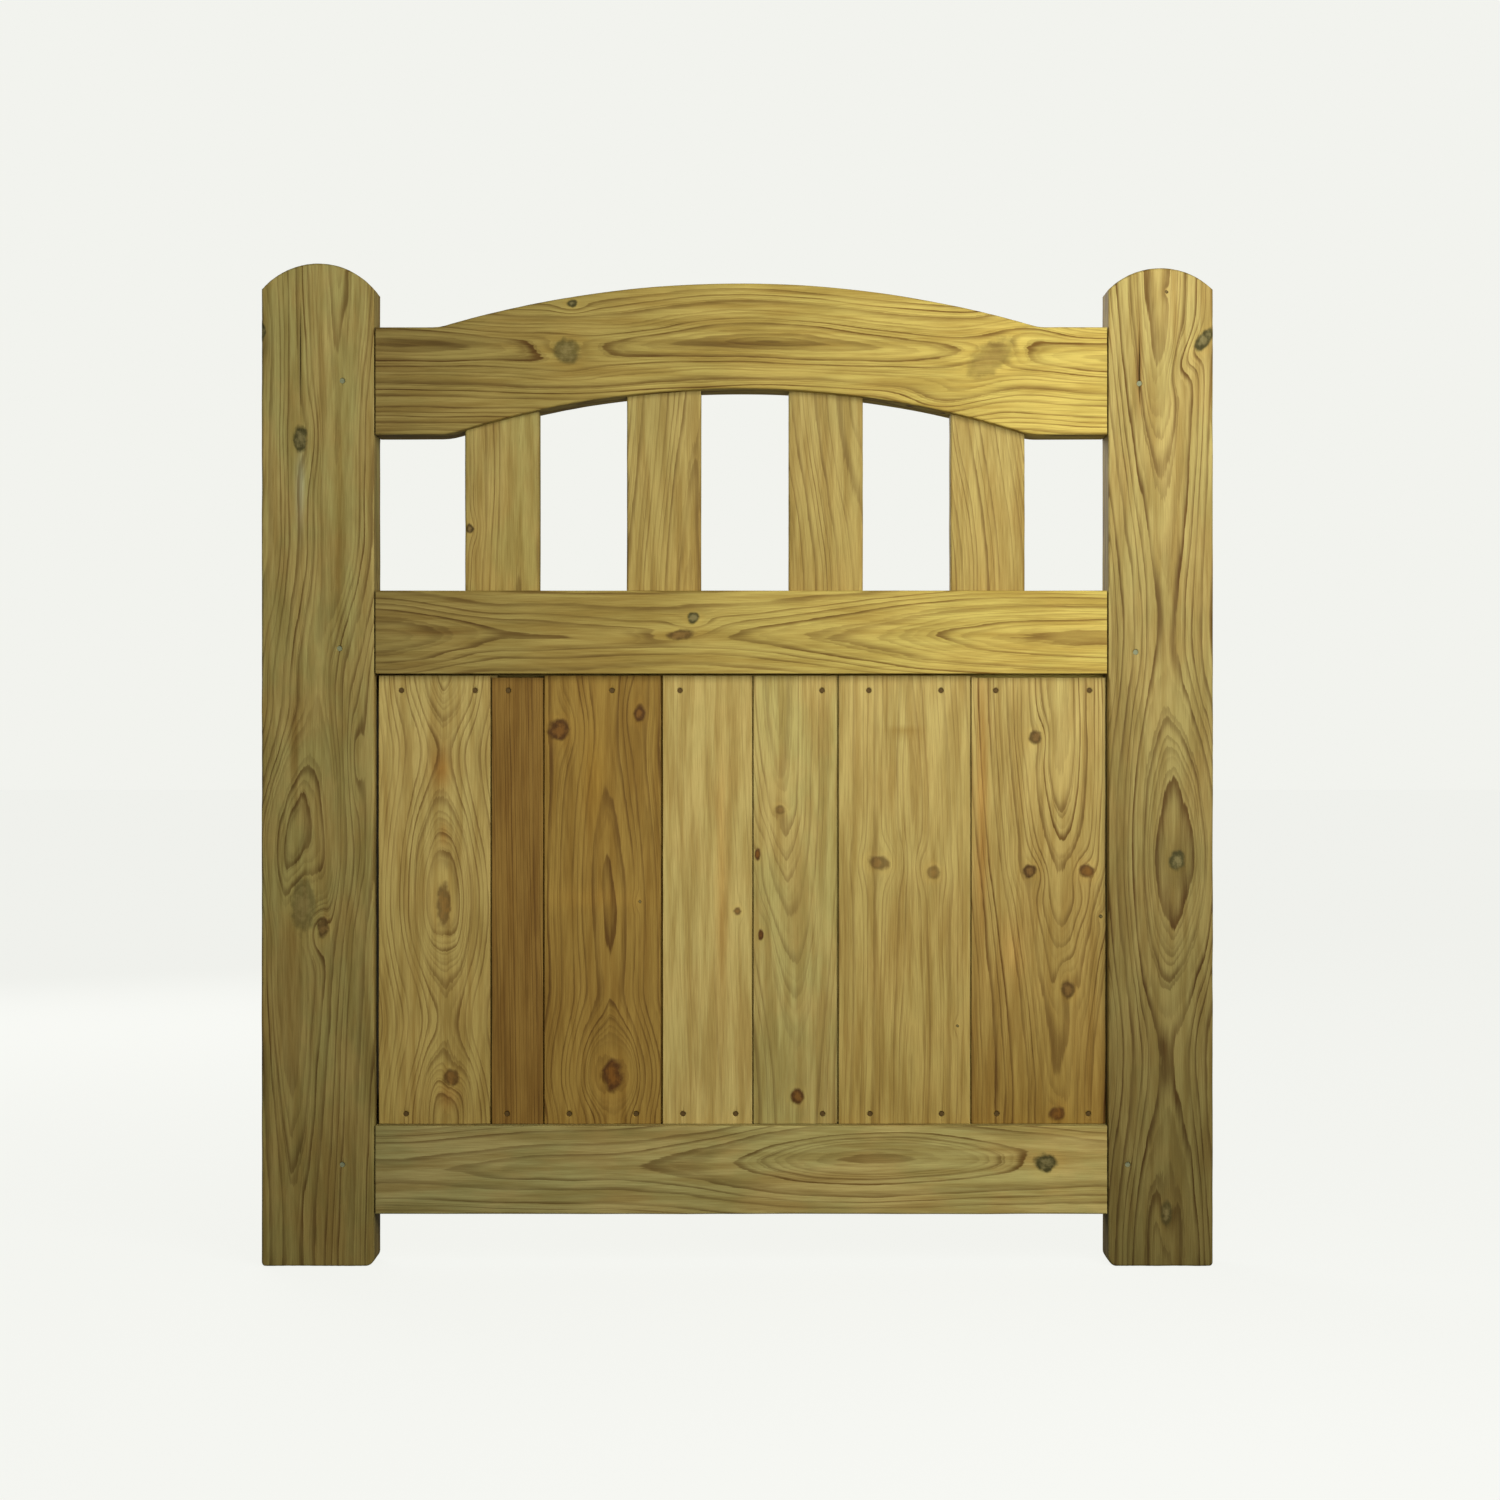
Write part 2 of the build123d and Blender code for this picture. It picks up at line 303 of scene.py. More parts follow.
class Member:
    """A piece of timber in the making: its face, which way its grain runs, and its look."""

    def __init__(self, name, low, high, upright, look):
        self.name, self.low, self.high, self.look = name, np.array(low), np.array(high), look
        self.along, self.across = (2, 0) if upright else (0, 2)

    def knot_lines(self, axis):
        """Grid lines that are close together where a knot or a crack lies along this axis."""
        lines = []
        for mark in self.look.knots:
            centre, size = (mark.z, mark.high) if axis == 2 else (mark.x, mark.wide)
            reach = size * 0.9 + 3
            count = max(2, int(2 * reach / KNOT_STEP))
            start = self.low[axis] + centre - reach
            lines.extend(start + 2 * reach * i / count for i in range(count + 1))
        for x, z, length in self.look.cracks:
            if axis == self.across:
                lines.extend(lines_about([self.low[axis] + (x, z)[axis == 2]], CRACK_LINES))
        return lines

    def grain(self, points):
        """Each point's place across the grain, along it and in from the front face."""
        local = np.empty_like(points)
        local[:, 0] = points[:, self.across] - self.low[self.across]
        local[:, 1] = points[:, self.along] - self.low[self.along]
        local[:, 2] = points[:, 1] - self.low[1]
        return local

    def away(self, points, x, z, wide, high, lean=0.0):
        """How far each point is from a mark's centre, where 1 is its rim."""
        dx, dz = points[:, 0] - self.low[0] - x, points[:, 2] - self.low[2] - z
        turn = math.radians(lean)
        across = dx * math.cos(turn) + dz * math.sin(turn)
        up = dz * math.cos(turn) - dx * math.sin(turn)
        return np.hypot(across / (wide / 2), up / (high / 2))

    def bow(self, points, knot):
        """How far a knot disturbs the grain, from 1 at its centre: further along the grain."""
        stretch = (BOW_ACROSS, BOW_ALONG) if self.along == 2 else (BOW_ALONG, BOW_ACROSS)
        wide, high = knot.wide * stretch[0] + BOW_MARGIN, knot.high * stretch[1] + BOW_MARGIN
        return np.exp(-1.4 * self.away(points, knot.x, knot.z, wide, high, knot.lean) ** 2)

    def spread(self, points, across):
        """The places across the grain before the knots pushed the fibres aside."""
        for knot in self.look.knots:
            centre = knot.x if self.across == 0 else knot.z
            across = across - PUSHED_ASIDE * (across - centre) * self.bow(points, knot)
        return across

    def rings(self, points):
        """The ring that each point lies in, counted out from the pith."""
        look, local = self.look, self.grain(points)
        seed = look.seed * 17
        straight = local * (0, 1, 0)
        pith_across = between([(along, across) for along, across, _ in look.pith], local[:, 1])
        pith_across += look.wander * wobble(straight, (1, 620, 1), seed)
        pith_deep = between([(along, deep) for along, _, deep in look.pith], local[:, 1])
        pith_deep += 0.5 * look.wander * wobble(straight, (1, 260, 1), seed + 1)
        spread = self.spread(points, local[:, 0])
        aside = np.abs(spread - pith_across) ** ARCH_POWER
        under = np.abs(local[:, 2] - pith_deep) ** ARCH_POWER
        out = (aside + under) ** (1 / ARCH_POWER)
        out += 0.20 * look.spacing * wobble(local, (60, 320, 60), seed + 2)
        out += 0.07 * look.spacing * wobble(local, (16, 100, 16), seed + 3)
        for knot in look.knots:
            rings = 0.4 + 0.018 * min(knot.wide, knot.high)
            out += rings * look.spacing * self.bow(points, knot)
        for x, z, wide, high, rings in look.eyes:
            out += rings * look.spacing * np.exp(-1.4 * self.away(points, x, z, wide, high) ** 2)
        ring = out / look.spacing
        return ring + 0.28 * np.sin(1.9 * ring + seed) + 0.35 * np.sin(0.61 * ring + 2 * seed)

    def nearest_knot(self, points):
        """The distance to the nearest knot, where 1 is its rim, and that knot's tone and strength."""
        distance = np.full(len(points), 4.0)
        tone, strength = np.zeros(len(points)), np.zeros(len(points))
        ragged = 0.10 * wobble(points, (11, 30, 11), self.look.seed + 50)
        for knot in self.look.knots:
            here = self.away(points, knot.x, knot.z, knot.wide, knot.high, knot.lean) + ragged
            nearer = here < distance
            distance[nearer], tone[nearer], strength[nearer] = here[nearer], knot.tone, knot.strength
        return np.clip(distance, 0, 4), tone, strength

    def crack(self, points):
        """1 along the middle of a crack, falling to 0 at its sides and its ends, front face only."""
        total = np.zeros(len(points))
        for x, z, length in self.look.cracks:
            wide, high = (1.4, length) if self.along == 2 else (length, 1.4)
            total = np.maximum(total, 1 - self.away(points, x, z, wide, high))
        return np.clip(total, 0, 1) * (points[:, 1] < self.low[1] + 3)

    def wood(self, points):
        """The springwood's colour: it changes from end to end and where there are stains. A darker
        lower or left end is partly painted shade, for the light falling off there.
        """
        length = self.high[self.along] - self.low[self.along]
        share = np.clip(self.grain(points)[:, 1:2] / length, 0, 1)
        colour = (1 - share) * self.look.low + share * self.look.high
        for *mark, stain in self.look.stains:
            strength = np.exp(-1.6 * self.away(points, *mark) ** 2)[:, None]
            colour *= 1 - strength * (1 - np.array(stain))
        return colour


# ---------------------------------------------------------------------------------------------
# From points and quads to a finished piece
# ---------------------------------------------------------------------------------------------
NAIL_HOLE_DEPTH = 2.5
RELIEF_ALLOWANCE = 0.45


def new_mesh(name, points, quads):
    mesh = bpy.data.meshes.new(name)
    mesh.from_pydata((points * MM).tolist(), [], quads.tolist())
    mesh.polygons.foreach_set("use_smooth", np.ones(len(quads), bool))
    mesh.update()
    return mesh


def normals_of(mesh):
    found = np.zeros(len(mesh.vertices) * 3, np.float32)
    mesh.vertex_normals.foreach_get("vector", found)
    return found.reshape(-1, 3).astype(float)


def store(mesh, name, values):
    """Keeps a number, or a vector, for each vertex, for the material to read."""
    kind, field = ("FLOAT", "value") if values.ndim == 1 else ("FLOAT_VECTOR", "vector")
    attribute = mesh.attributes.new(name, kind, "POINT")
    attribute.data.foreach_set(field, values.astype(np.float32).ravel())


def punched(points, nails, face_y):
    """How deep the punched holes over the nails' heads are at each point of a face."""
    depth = np.zeros(len(points))
    on_face = np.abs(points[:, 1] - face_y) < 1.2
    for x, z in nails:
        out = np.hypot(points[:, 0] - x, points[:, 2] - z)
        depth = np.maximum(depth, NAIL_HOLE_DEPTH * (1 - smooth_step(1.9, 2.9, out)))
    return depth * on_face


def relief(member, points, ring, knot, crack):
    """How far the surface lies below the sawn size: planer waves, ring ridges, knots, cracks."""
    local = member.grain(points)
    seed = member.look.seed + 90
    waves = 0.5 + 0.5 * np.clip(wobble(local, (45, 160, 45), seed), -1, 1)
    ridges = 0.5 + 0.5 * np.cos(2 * math.pi * ring)
    proud = 1 - smooth_step(0.75, 1.15, knot)
    dished = np.exp(-((knot - 1.35) ** 2) / 0.08)
    low = 0.18 * waves + 0.10 * ridges * (1 - proud) + 0.12 * (1 - proud) + 0.16 * dished
    return np.clip(low, 0, RELIEF_ALLOWANCE) + 1.4 * crack


def finish_member(member, points, quads, nails=()):
    """Makes the piece: relief, nail holes, the numbers its material reads, and the frame calls."""
    mesh = new_mesh(member.name, points, quads)
    ring = member.rings(points)
    knot, tone, strength = member.nearest_knot(points)
    crack = member.crack(points)
    normals = normals_of(mesh)
    carved = points - normals * relief(member, points, ring, knot, crack)[:, None]
    holes = punched(points, nails, member.low[1])
    carved[:, 1] += holes
    carved = np.clip(carved, *box_of(member.name))
    mesh.vertices.foreach_set("co", (carved * MM).astype(np.float32).ravel())
    mesh.update()
    mesh.set_sharp_from_angle(angle=math.radians(50))
    local = member.grain(points)
    store(mesh, "grain", local + 1000.0 * member.look.seed * np.array((1, 0, 0)))
    store(mesh, "ring", ring)
    store(mesh, "knot", knot)
    store(mesh, "knot_tone", tone)
    store(mesh, "knot_strength", strength)
    # Painted shade: the cracks, and the punched nail holes at three quarters, are painted dark
    store(mesh, "crack", np.maximum(crack, 0.75 * holes / NAIL_HOLE_DEPTH))
    store(mesh, "end_grain", smooth_step(0.5, 0.8, np.abs(normals[:, member.along])))
    # The springwood's colour: darker at the lower or left end partly as painted shade, for the light's
    # falloff
    store(mesh, "wood", member.wood(points))
    mesh.materials.append(softwood(member.name + "_timber", member.look))
    piece = bpy.data.objects.new(member.name + "_timber", mesh)
    bpy.context.scene.collection.objects.link(piece)
    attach(piece, "root")
    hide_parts(member.name)
    return piece


# ---------------------------------------------------------------------------------------------
# Materials
# ---------------------------------------------------------------------------------------------
class Nodes:
    """Short names for the nodes that the materials are made of."""

    def __init__(self, material):
        material.use_nodes = True
        self.tree = material.node_tree
        self.shader = self.tree.nodes["Principled BSDF"]

    def node(self, kind, **settings):
        made = self.tree.nodes.new(kind)
        for name, value in settings.items():
            setattr(made, name, value)
        return made

    def feed(self, socket, value):
        if isinstance(value, bpy.types.NodeSocket):
            self.tree.links.new(value, socket)
        else:
            socket.default_value = value

    def math(self, operation, *values):
        made = self.node("ShaderNodeMath", operation=operation)
        for socket, value in zip(made.inputs, values):
            self.feed(socket, value)
        return made.outputs[0]

    def scaled(self, vector, scale):
        made = self.node("ShaderNodeVectorMath", operation="MULTIPLY")
        self.feed(made.inputs[0], vector)
        made.inputs[1].default_value = scale
        return made.outputs[0]

    def attribute(self, name, output="Fac"):
        return self.node("ShaderNodeAttribute", attribute_name=name).outputs[output]

    def noise(self, vector, detail=2.0, roughness=0.5):
        made = self.node("ShaderNodeTexNoise")
        self.feed(made.inputs["Vector"], vector)
        made.inputs["Scale"].default_value = 1.0
        made.inputs["Detail"].default_value = detail
        made.inputs["Roughness"].default_value = roughness
        return made.outputs["Fac"]

    def ramp(self, value, low, high, to_low=0.0, to_high=1.0):
        """A smooth step from to_low to to_high as value goes from low to high."""
        made = self.node("ShaderNodeMapRange", interpolation_type="SMOOTHSTEP")
        for socket, given in zip(made.inputs, (value, low, high, to_low, to_high)):
            self.feed(socket, given)
        return made.outputs[0]

    def blend(self, kind, factor, a, b):
        made = self.node("ShaderNodeMix", data_type="RGBA", blend_type=kind)
        self.feed(made.inputs[0], factor)
        for socket, colour in ((made.inputs[6], a), (made.inputs[7], b)):
            if not isinstance(colour, bpy.types.NodeSocket):
                colour = (*colour, 1.0)
            self.feed(socket, colour)
        return made.outputs[2]

    def mix(self, factor, a, b):
        return self.blend("MIX", factor, a, b)

    def shade(self, factor, colour, by):
        """The colour multiplied by another, as far as factor says."""
        return self.blend("MULTIPLY", factor, colour, by)

    def late(self, ring, start, full):
        """How much each place in a ring is dark summerwood, which ends sharply at its outside."""
        phase = self.math("FRACT", ring)
        darkening, ending = self.ramp(phase, start, full), self.ramp(phase, 0.93, 1.0, 1.0, 0.0)
        return self.math("MULTIPLY", darkening, ending)

    def ring_strength(self, ring, least):
        """A number for each whole ring, from least to 1."""
        made = self.node("ShaderNodeTexWhiteNoise", noise_dimensions="1D")
        self.feed(made.inputs["W"], self.math("FLOOR", ring))
        return self.math("MULTIPLY_ADD", made.outputs["Value"], 1.0 - least, least)

    def bump(self, height, strength, distance):
        made = self.node("ShaderNodeBump")
        made.inputs["Strength"].default_value = strength
        made.inputs["Distance"].default_value = distance
        self.feed(made.inputs["Height"], height)
        self.feed(self.shader.inputs["Normal"], made.outputs[0])


SUMMERWOOD = (0.31, 0.205, 0.095)
RED_HEART, RED_RIM = (0.18, 0.072, 0.009), (0.085, 0.033, 0.005)
GREY_HEART, GREY_RIM = (0.19, 0.155, 0.055), (0.060, 0.050, 0.012)
# Painted shade: the dark colour laid in the cracks and the punched nail holes
CRACK_SHADE_COLOUR = (0.055, 0.036, 0.010)
TREATMENT_GREEN = (0.80, 0.95, 0.95)


def softwood(name, look):
    """Planed, pressure-treated softwood: rings, fibre, knots, cracks and the treatment's tint.
    The cracks and the punched nail holes are painted dark: painted shade in their recesses.

    It multiplies the member's springwood colour, which the vertices carry; where that colour is
    darker at the lower or left end, it is partly painted shade, for the light falling off there.
    """
    material = bpy.data.materials.new(name)
    n = Nodes(material)
    grain = n.attribute("grain", "Vector")
    knot = n.attribute("knot")
    crack = n.attribute("crack")

    ragged = n.noise(n.scaled(grain, (0.30, 0.020, 0.30)), 3.0, 0.55)
    fine_ragged = n.noise(n.scaled(grain, (1.2, 0.07, 1.2)), 2.0)
    ring = n.math("MULTIPLY_ADD", ragged, 0.30, n.attribute("ring"))
    ring = n.math("MULTIPLY_ADD", fine_ragged, 0.10, ring)
    late = n.math("MULTIPLY", n.late(ring, 0.54, 0.90), n.ring_strength(ring, 0.35))
    inner_ring = n.math("MULTIPLY", ring, 2.6)
    faint = n.math("MULTIPLY", n.late(inner_ring, 0.30, 0.85), n.ring_strength(inner_ring, 0.0))
    late = n.math("MAXIMUM", late, n.math("MULTIPLY", faint, 0.45))
    fading = n.noise(n.scaled(grain, (0.05, 0.008, 0.05)), 2.0)
    late = n.math("MULTIPLY", late, n.ramp(fading, 0.32, 0.60, 0.45, 1.0))

    fibre = n.noise(n.scaled(grain, (1.5, 0.030, 1.5)), 4.0, 0.65)
    broad = n.noise(n.scaled(grain, (0.10, 0.007, 0.10)), 3.0, 0.55)
    cloud = n.noise(n.scaled(grain, (0.022, 0.010, 0.022)), 3.0, 0.6)

    # Painted shade in part: the springwood's colour is darker towards the lower or left end
    wood = n.attribute("wood", "Color")
    colour = n.shade(n.math("MULTIPLY", late, look.contrast), wood, SUMMERWOOD)
    colour = n.shade(n.ramp(fibre, 0.35, 0.72), colour, (0.78, 0.75, 0.70))
    colour = n.shade(n.ramp(broad, 0.36, 0.66), colour, (0.74, 0.67, 0.56))
    colour = n.shade(n.math("MULTIPLY", n.ramp(cloud, 0.38, 0.62), look.green), colour, TREATMENT_GREEN)

    mottle = n.math("SUBTRACT", n.noise(n.scaled(grain, (0.20, 0.15, 0.20)), 3.0, 0.6), 0.5)
    frayed = n.math("MULTIPLY_ADD", mottle, 0.55, knot)
    uneven = n.math("MULTIPLY_ADD", mottle, -1.6, knot)
    tone = n.attribute("knot_tone")
    heart, rim = n.mix(tone, RED_HEART, GREY_HEART), n.mix(tone, RED_RIM, GREY_RIM)
    core = n.mix(n.ramp(uneven, 0.10, 0.80), heart, rim)
    core = n.shade(n.ramp(fine_ragged, 0.45, 0.65, 0.0, 0.5), core, (0.65, 0.60, 0.50))
    colour = n.shade(n.ramp(frayed, 1.0, 2.2, 0.5, 0.0), colour, (1.12, 1.08, 1.0))
    cover = n.math("MULTIPLY", n.ramp(frayed, 0.66, 1.16, 1.0, 0.0), n.attribute("knot_strength"))
    colour = n.mix(cover, colour, core)

    colour = n.shade(n.math("MULTIPLY", n.attribute("end_grain"), 0.35), colour, (0.5, 0.5, 0.5))
    # Painted shade: the cracks and the punched nail holes are darkened towards the crack colour
    colour = n.mix(n.ramp(crack, 0.05, 0.7), colour, CRACK_SHADE_COLOUR)
    n.feed(n.shader.inputs["Base Color"], colour)

    rough = n.math("MULTIPLY_ADD", fibre, 0.22, 0.56)
    n.feed(n.shader.inputs["Roughness"], n.math("MULTIPLY_ADD", late, -0.08, rough))
    n.shader.inputs["Specular IOR Level"].default_value = 0.13
    height = n.math("MULTIPLY_ADD", late, 0.45, n.math("MULTIPLY", fibre, 0.8))
    height = n.math("MULTIPLY_ADD", n.ramp(frayed, 0.7, 1.2, 1.0, 0.0), 0.35, height)
    n.bump(height, 0.5, 0.0005)
    return material


def nail_metal(name, dull, bright):
    """A nail's punched-in head: mottled zinc, dulled and tinted by the timber treatment."""
    material = bpy.data.materials.new(name)
    n = Nodes(material)
    place = n.node("ShaderNodeTexCoord").outputs["Object"]
    mottle = n.noise(n.scaled(place, (900, 900, 900)), 3.0, 0.6)
    n.feed(n.shader.inputs["Base Color"], n.mix(mottle, dull, bright))
    n.feed(n.shader.inputs["Roughness"], n.math("MULTIPLY_ADD", mottle, 0.3, 0.5))
    n.shader.inputs["Metallic"].default_value = 0.15
    n.shader.inputs["Specular IOR Level"].default_value = 0.1
    n.bump(mottle, 0.4, 0.0002)
    return material


# ---------------------------------------------------------------------------------------------
# The members
# ---------------------------------------------------------------------------------------------
TOP_RAIL_END_DEPTH = 102.0
ARCH_INNER_RADIUS, ARCH_INNER_RISE = 891.0, 43.5
ARCH_OUTER_RADIUS = 991.0
ARCH_OFF_CENTRE = -2.0
ARCH_X = (LEFT_X + RIGHT_X) / 2 + ARCH_OFF_CENTRE
INNER_EASING, OUTER_EASING = 3.1, 1.5
BOTTOM_RAIL_DEPTH, MIDDLE_RAIL_DEPTH = 84.0, 79.0

RAIL_FACES = {
    "top_rail": (RAILS["top_rail"][0][2], RAILS["top_rail"][0][2] + TOP_RAIL_END_DEPTH),
    "middle_rail": (RAILS["middle_rail"][1][2] - MIDDLE_RAIL_DEPTH, RAILS["middle_rail"][1][2]),
    "bottom_rail": (RAILS["bottom_rail"][0][2], RAILS["bottom_rail"][0][2] + BOTTOM_RAIL_DEPTH),
}
TENON_SPANS = {
    rail: (low + TENON_INSET, high - TENON_INSET) for rail, (low, high) in RAIL_FACES.items()
}
THROUGH = (-1e4, 1e4)
TENON_Y = (-TENON_HALF, TENON_HALF)
MORTICE_LENGTH = TENON_LENGTH + MORTICE_SPARE


def nails_between(x_low, x_high):
    """The tenon nails that lie between two places across the gate."""
    found = [centre for rail in RAILS for centre in nail_centres(f"{rail}_nails")]
    return [(x, z) for x, z in found if x_low < x < x_high]


def flat(spans):
    return [edge for span in spans for edge in span]


def stile(name, look):
    """A stile: mortices in its inner edge, eased arrises, rounded head and foot corners."""
    low, high = STILES[name]
    member = Member(name, low, high, True, look)
    nails = nails_between(low[0], high[0])
    inner_left = name == "right_stile"
    mortice = (low[0], low[0] + MORTICE_LENGTH) if inner_left else (high[0] - MORTICE_LENGTH, high[0])
    foot_radii = (FOOT_OUTER_RADIUS, FOOT_INNER_RADIUS)
    if inner_left:
        foot_radii = foot_radii[::-1]
    xs = grid_lines(low[0], high[0], ACROSS_STEP, [
        *arris_lines(low[0], high[0], STILE_ARRIS), *member.knot_lines(0), *mortice,
        *lines_about([x for x, _ in nails], NAIL_RINGS),
    ])
    ys = grid_lines(low[1], high[1], EDGE_STEP, [*arris_lines(low[1], high[1], STILE_ARRIS), *TENON_Y])
    zs = grid_lines(low[2], high[2], ALONG_STEP, [
        *arris_lines(low[2], high[2], STILE_ARRIS), *arris_lines(low[2], high[2], max(foot_radii)),
        *member.knot_lines(2), *flat(TENON_SPANS.values()),
        *lines_about([z for _, z in nails], NAIL_RINGS),
    ])
    block = Block(xs, ys, zs)
    block.put(THROUGH, THROUGH, THROUGH)
    for tenon_z in TENON_SPANS.values():
        block.cut(mortice, TENON_Y, tenon_z)
    points, quads = block.skin()
    height = points[:, 2].copy()
    at_rail = np.zeros(len(points))
    for bottom, top in RAIL_FACES.values():
        above = smooth_step(bottom - 5, bottom + 1, height)
        at_rail += above * (1 - smooth_step(top - 1, top + 5, height))
    for side_x, x in ((-1, low[0]), (1, high[0])):
        inner = (side_x < 0) == inner_left
        worn = 1 + FRAME_WEAR * wobble(points, (400, 400, 70), look.seed + side_x)
        radius = STILE_ARRIS * worn * (1 - 0.6 * at_rail * inner)
        for side_y, y in ((-1, low[1]), (1, high[1])):
            ease(points, (0, 1), (x, y), (side_x, side_y), radius)
    for side_y, y in ((-1, low[1]), (1, high[1])):
        ease(points, (1, 2), (y, low[2]), (side_y, -1), FOOT_ARRIS)
        ease(points, (1, 2), (y, high[2]), (side_y, 1), STILE_ARRIS)
    ease(points, (0, 2), (low[0], low[2]), (-1, -1), foot_radii[0])
    ease(points, (0, 2), (high[0], low[2]), (1, -1), foot_radii[1])
    middle, base = (low[0] + high[0]) / 2, high[2] - HEAD_BASE_DROP
    head = high[2] - STILE_HEAD_RADIUS + np.sqrt(STILE_HEAD_RADIUS**2 - (points[:, 0] - middle) ** 2)
    share = np.clip((points[:, 2] - base) / (high[2] - base), 0, 1)
    points[:, 2] -= share * (high[2] - head)
    return finish_member(member, points, quads, nails)


def arch_heights(x):
    """The lower and the upper edge of the arched rail at x: flat ends, concentric arches between."""
    def eased(flat_z, peak_z, radius, easing):
        arc = peak_z - radius + np.sqrt(radius**2 - (x - ARCH_X) ** 2)
        blend = np.clip(0.5 + (arc - flat_z) / (2 * easing), 0, 1)
        return flat_z * (1 - blend) + arc * blend + easing * blend * (1 - blend)

    bottom, end_top = RAIL_FACES["top_rail"]
    peak = RAILS["top_rail"][1][2]
    lower = eased(bottom, bottom + ARCH_INNER_RISE, ARCH_INNER_RADIUS, INNER_EASING)
    return lower, eased(end_top, peak, ARCH_OUTER_RADIUS, OUTER_EASING)


def rail(name, look, low_z, high_z, pale_sockets=None, lip_rebate=None):
    """A rail's bar with its two tenons, sockets for the pales and a rebate in front of its lip."""
    shoulders = (LEFT_X + SHOULDER_GAP, RIGHT_X - SHOULDER_GAP)
    tips = (LEFT_X - TENON_LENGTH, RIGHT_X + TENON_LENGTH)
    face_low, face_high = RAIL_FACES[name]
    member = Member(name, (LEFT_X, FRONT_Y, face_low), (RIGHT_X, BACK_Y, face_high), False, look)
    socket_x = [(pale_low[0], pale_high[0]) for pale_low, pale_high in PALES.values()]
    socket_y = (PALES["pale_1"][0][1], PALES["pale_1"][1][1])
    xs = grid_lines(*tips, ALONG_STEP, [
        *arris_lines(*shoulders, RAIL_ARRIS), *member.knot_lines(0),
        *(flat(socket_x) if pale_sockets else ()),
    ])
    ys = grid_lines(FRONT_Y, BACK_Y, EDGE_STEP, [
        *arris_lines(FRONT_Y, BACK_Y, RAIL_ARRIS), *TENON_Y, *socket_y, BOARD_BACK_Y,
    ])
    zs = grid_lines(low_z, high_z, ACROSS_STEP, [
        *arris_lines(low_z, high_z, RAIL_ARRIS), *arris_lines(face_low, face_high, RAIL_ARRIS),
        *member.knot_lines(2), *TENON_SPANS[name], *(pale_sockets or ()), *(lip_rebate or ()),
    ])
    block = Block(xs, ys, zs)
    block.put(shoulders, THROUGH, THROUGH)
    if lip_rebate:
        block.cut(shoulders, (FRONT_Y, BOARD_BACK_Y), lip_rebate)
    for span in socket_x if pale_sockets else ():
        block.cut(span, socket_y, pale_sockets)
    for tenon_x in ((tips[0], shoulders[0]), (shoulders[1], tips[1])):
        block.put(tenon_x, TENON_Y, TENON_SPANS[name])
    points, quads = block.skin()
    worn = RAIL_ARRIS * (1 + FRAME_WEAR * wobble(points, (90, 400, 400), look.seed))
    for z, side_z in ((face_low, -1), (face_high, 1)):
        over_boards = lip_rebate is not None and z in lip_rebate
        radius = worn * (OVER_BOARDS_SHARE if over_boards else 1.0)
        ease(points, (1, 2), (FRONT_Y, z), (-1, side_z), radius)
    for z, side_z in ((low_z, -1), (high_z, 1)):
        ease(points, (1, 2), (BACK_Y, z), (1, side_z), worn)
    for x, side_x in ((shoulders[0], -1), (shoulders[1], 1)):
        ease(points, (0, 1), (x, FRONT_Y), (side_x, -1), SHOULDER_ARRIS)
    if name == "top_rail":
        bend_into_arch(points, socket_x, socket_y, pale_sockets)
    return finish_member(member, points, quads)


def bend_into_arch(points, socket_x, socket_y, sockets):
    """Moves a straight bar's points to the arched rail's shape; sockets keep level ceilings."""
    bottom, end_top = RAIL_FACES["top_rail"]
    straight = points[:, 2].copy()
    lower, upper = arch_heights(points[:, 0])
    points[:, 2] = lower + (straight - bottom) / (end_top - bottom) * (upper - lower)
    in_y = (points[:, 1] >= socket_y[0] - 0.01) & (points[:, 1] <= socket_y[1] + 0.01)
    for (x_low, x_high), pale_box in zip(socket_x, PALES.values()):
        inside = in_y & (points[:, 0] >= x_low - 0.01) & (points[:, 0] <= x_high + 0.01)
        inside &= straight <= sockets[1] + 0.01
        ceiling = pale_box[1][2] + MORTICE_SPARE
        share = (straight - bottom) / (sockets[1] - bottom)
        points[inside, 2] = (lower + share * (ceiling - lower))[inside]


